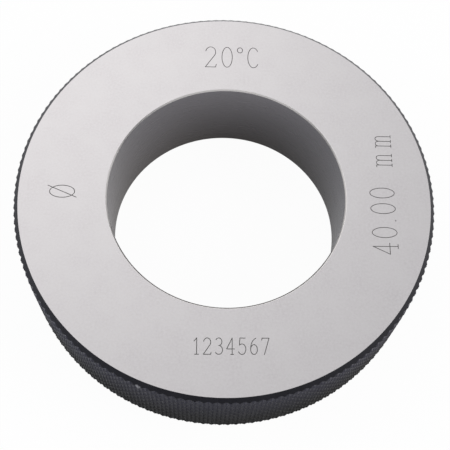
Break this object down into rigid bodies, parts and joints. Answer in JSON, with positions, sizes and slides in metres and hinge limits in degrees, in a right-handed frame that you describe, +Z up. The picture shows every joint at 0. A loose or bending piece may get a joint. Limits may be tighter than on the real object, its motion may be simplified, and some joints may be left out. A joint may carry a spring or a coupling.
{
  "type": "setting ring",
  "caption": "Setting ring for bore gauges: a flat steel ring with a lapped bore, ground faces, chamfered edges and a diamond-knurled rim.",
  "frame": {"origin": "middle of the ring's lower face, on the bore's axis", "axes": "+Z up along the bore's axis, from the lower face to the marked upper face; the marking that reads 40 mm is on the +X side"},
  "size_m": [0.071, 0.071, 0.018],
  "materials": {
    "steel": "ground"
  },
  "bodies": {
    "root": {"setting_ring": "steel"}
  },
  "joints": []
}
